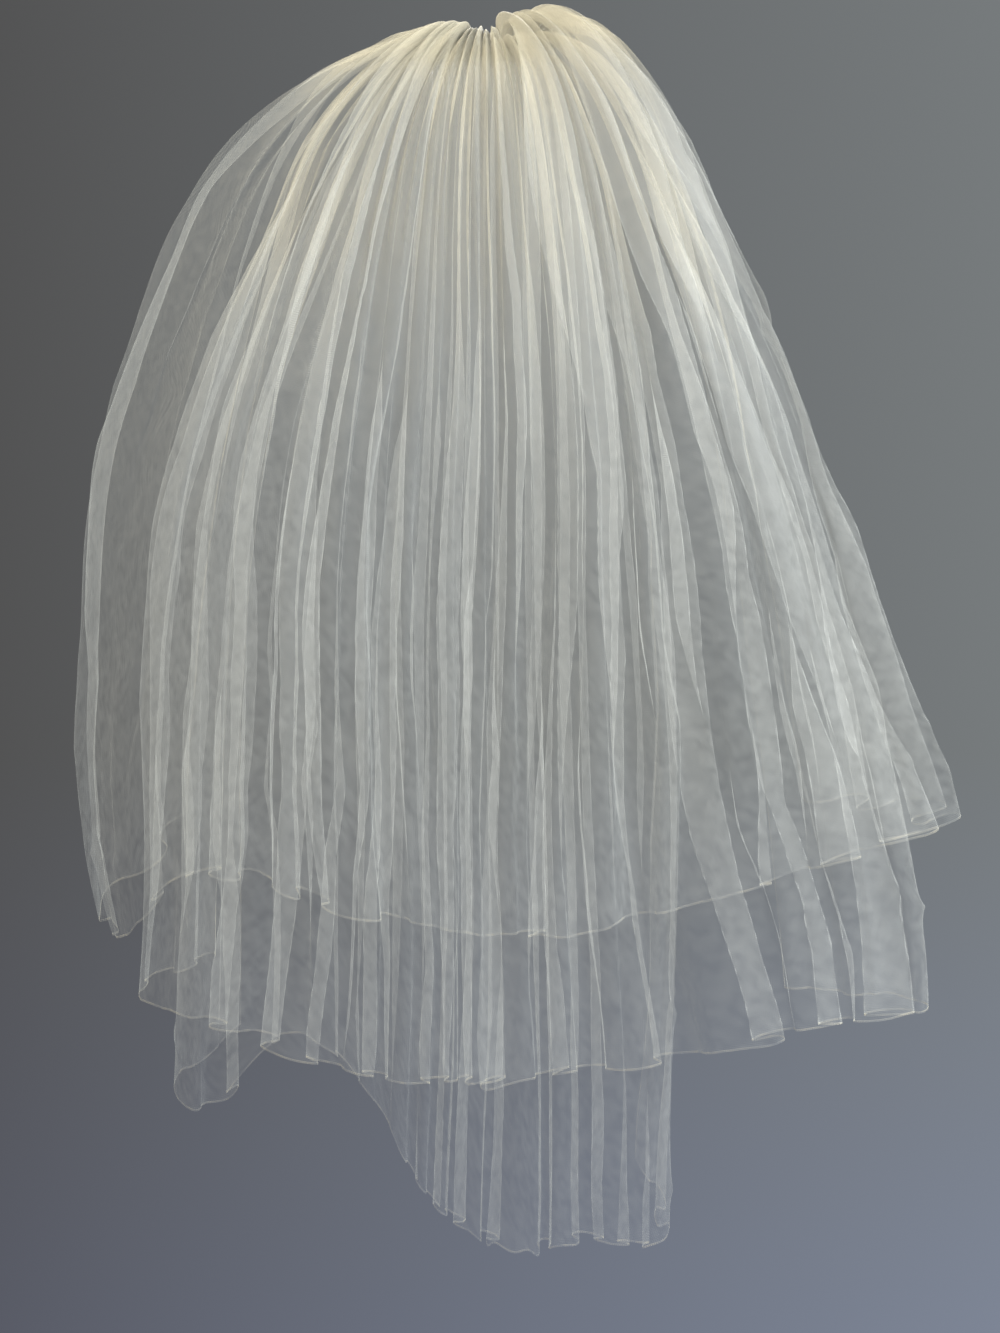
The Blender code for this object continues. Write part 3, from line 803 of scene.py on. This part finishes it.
def makeBand():
    radius = band["round"]
    depth = crown["bandDepth"] / 2
    height = crown["bandHeight"] / 2
    middle = -crown["spineHeight"] / 2 - crown["seam"] - depth
    outline = []
    for y, z, start in ((1, 1, 0), (-1, 1, 90), (-1, -1, 180), (1, -1, 270)):
        for k in range(band["corners"] + 1):
            angle = math.radians(start + 90 * k / band["corners"])
            outline.append((y * (depth - radius) + radius * math.cos(angle),
                            z * (height - radius) + radius * math.sin(angle)))
    rings, around = band["rings"], len(outline)
    endSize, pace = band["endSize"]
    dent, *dents = band["crumple"]
    drawn = bmesh.new()
    bmesh.ops.create_grid(drawn, x_segments=rings, y_segments=around, size=0.5)
    for vert in drawn.verts:
        share = vert.co.x + 0.5
        corner = round((vert.co.y + 0.5) * around) % around
        y, z = outline[corner]
        x = comb["width"] * (share - 0.5)
        crumple = waver(np.array(share), np.array(corner / around), *dents, band["seed"]).item()
        drawnIn = band["pucker"] * math.cos(math.pi * x / sewing["pitch"])**2 + dent * (1 + crumple) / 2
        rounded = min(1, endSize + pace * min(share, 1 - share))
        size = rounded * (1 - drawnIn / height)
        vert.co = onComb(x, middle + y * size, z * size)
    bmesh.ops.remove_doubles(drawn, verts=drawn.verts, dist=0.001 * mm)
    bmesh.ops.holes_fill(drawn, edges=[edge for edge in drawn.edges if edge.is_boundary], sides=0)
    addPiece(finishMesh("boundHeading", drawn), bandFinish(), "ivory_binding", "heading_band")


def threadCurve(name, paths):  # round threads whose ends taper into the cloth
    drawn = bpy.data.curves.new(name, "CURVE")
    drawn.dimensions = "3D"
    drawn.bevel_depth = sewing["thick"] / 2 * mm
    drawn.bevel_resolution = 1
    drawn.use_fill_caps = True
    for path in paths:
        spline = drawn.splines.new("NURBS")
        spline.points.add(len(path) - 1)
        for point, place in zip(spline.points, path):
            point.co = (*onComb(*place), 1)
        spline.points[0].radius = spline.points[-1].radius = sewing["taper"]
        spline.order_u = 3
        spline.resolution_u = 2
        spline.use_endpoint_u = True
    return drawn


def makeSewing():
    material = threadFinish()
    front = -crown["spineHeight"] / 2 - crown["seam"]
    half = sewing["thick"] / 2
    stitches = []
    count = int((comb["width"] - sewing["margin"]) / sewing["pitch"])
    for height in sewing["rows"]:
        for i in range(count):
            x = (i - (count - 1) / 2) * sewing["pitch"]
            stitches.append([(x + along * sewing["stitch"],
                              front + lift * sewing["proud"] - sunk * half, height)
                             for along, lift, sunk in sewing["arch"]])
    addPiece(threadCurve("bandStitches", stitches), material, "ivory_binding")

    wraps = []
    gapWidth = comb["width"] / (2 * comb["teeth"] + 1)
    tip = crown["spineHeight"] / 2 + half
    face = comb["spineThick"] / 2 + half
    over = [(front - half, face + half), (front + half, face), (0, face),
            (tip - half, face), (tip, face - half)]
    loop = over + [(y, -z) for y, z in reversed(over)]
    for gap in range(1, comb["teeth"], sewing["gapsSewn"]):
        middle = (gap - comb["teeth"] / 2) * 2 * gapWidth
        for turn in range(sewing["turns"]):
            x = middle + (turn - (sewing["turns"] - 1) / 2) * sewing["thick"] * sewing["turnRoom"]
            wraps.append([(x, y, z) for y, z in loop])
    addPiece(threadCurve("combWraps", wraps), material, "ivory_binding")


makeComb()
makeBand()
makeSewing()


# floor, light and camera, in metres
stage = {
    "floorHeight": -1.66,
    "floorRadius": 1.4,
    "floorColours": ((0.27, 0.27, 0.268), (0.31, 0.31, 0.306)),
    "floorPatch": 0.35,
    "floorDetail": 4.0,
    "floorRamp": (0.25, 0.75),
    "floorRoughness": (0.6, 0.85),
    # painted light and shade on the wall: shaded on the left, lit on the right
    "wallShadedLeft": (0.085, 0.085, 0.086),
    "wallLitRight": (0.185, 0.200, 0.206),
    "wallLitLow": (1.15, 1.22, 1.55),     # painted light: how the wall changes from the top of the view to the bottom, lighter and bluer low down
    "wallSpan": (0.18, -0.17, -0.38),  # sideways half width, then heights of the top and the bottom
    "camera": (0.0117, -2.2, -0.150),
    "target": (0.0117, 0.0, -0.465),
    "lens": 76.9,
    "layers": 40,                      # of net that light goes through before it is lost
}
lights = (
    # name, place, target, size, watts, colour
    ("key", (-1.6, -2.6, 1.2), (0, 0, -0.45), 1.6, 135, (1.0, 0.97, 0.90)),
    ("fill", (2.2, -1.8, 0.4), (0, 0, -0.45), 1.8, 125, (0.96, 0.98, 1.0)),
    ("front", (0.3, 2.4, 0.8), (0, 0, -0.45), 1.8, 60, (1.0, 1.0, 1.0)),
)


def floorFinish():
    made = Finish("paleFloor")
    patch = made.noise(made.places(), stage["floorPatch"], stage["floorDetail"])
    patch = patch.step(*stage["floorRamp"])
    low, high = stage["floorRoughness"]
    made.feed(Base_Color=made.blend(patch, *stage["floorColours"]),
              Roughness=patch * (high - low) + low)
    return made.material


def makeFloor():
    drawn = bmesh.new()
    bmesh.ops.create_circle(drawn, cap_ends=True, segments=96, radius=stage["floorRadius"])
    bmesh.ops.translate(drawn, verts=drawn.verts, vec=(0, 0, stage["floorHeight"]))
    mesh = bpy.data.meshes.new("floor")
    drawn.to_mesh(mesh)
    drawn.free()
    mesh.materials.append(floorFinish())
    show(mesh)


def aim(data, place, target):
    made = show(data)
    made.location = place
    made.rotation_euler = (Vector(target) - Vector(place)).to_track_quat("-Z", "Y").to_euler()
    return made


def makeLights():
    for name, place, target, size, watts, colour in lights:
        light = bpy.data.lights.new(name, "AREA")
        light.shape = "DISK"
        light.size = size
        light.energy = watts
        light.color = colour
        aim(light, place, target).visible_transmission = False


def makeWorld():  # a plain wall with painted light on it: darker to the left, lighter to the right, and lighter and bluer low down
    world = bpy.data.worlds.new("studio")
    bpy.context.scene.world = world
    world.use_nodes = True
    made = Nodes(world.node_tree)
    x, _, z = made.parts(made.places("Generated"))
    half, top, bottom = stage["wallSpan"]
    sideways = made.blend(x.step(-half, half, "LINEAR"), stage["wallShadedLeft"], stage["wallLitRight"])
    downwards = made.blend(z.step(top, bottom, "LINEAR"), (1, 1, 1), stage["wallLitLow"])
    wall = made.node("ShaderNodeMix", {"data_type": "RGBA", "blend_type": "MULTIPLY"},
                     {0: 1, 6: sideways, 7: downwards}, 2)
    made.plug(made.tree.nodes["Background"].inputs["Color"], wall)


def makeCamera():
    camera = bpy.data.cameras.new("camera")
    camera.lens = stage["lens"]
    bpy.context.scene.camera = aim(camera, stage["camera"], stage["target"])


makeFloor()
makeWorld()
makeLights()
makeCamera()
bpy.context.scene.view_settings.view_transform = "Standard"
bpy.context.scene.cycles.transparent_max_bounces = stage["layers"]
bpy.context.scene.cycles.diffuse_bounces = 0  # net this thin hardly lights its neighbours
print("stage set")
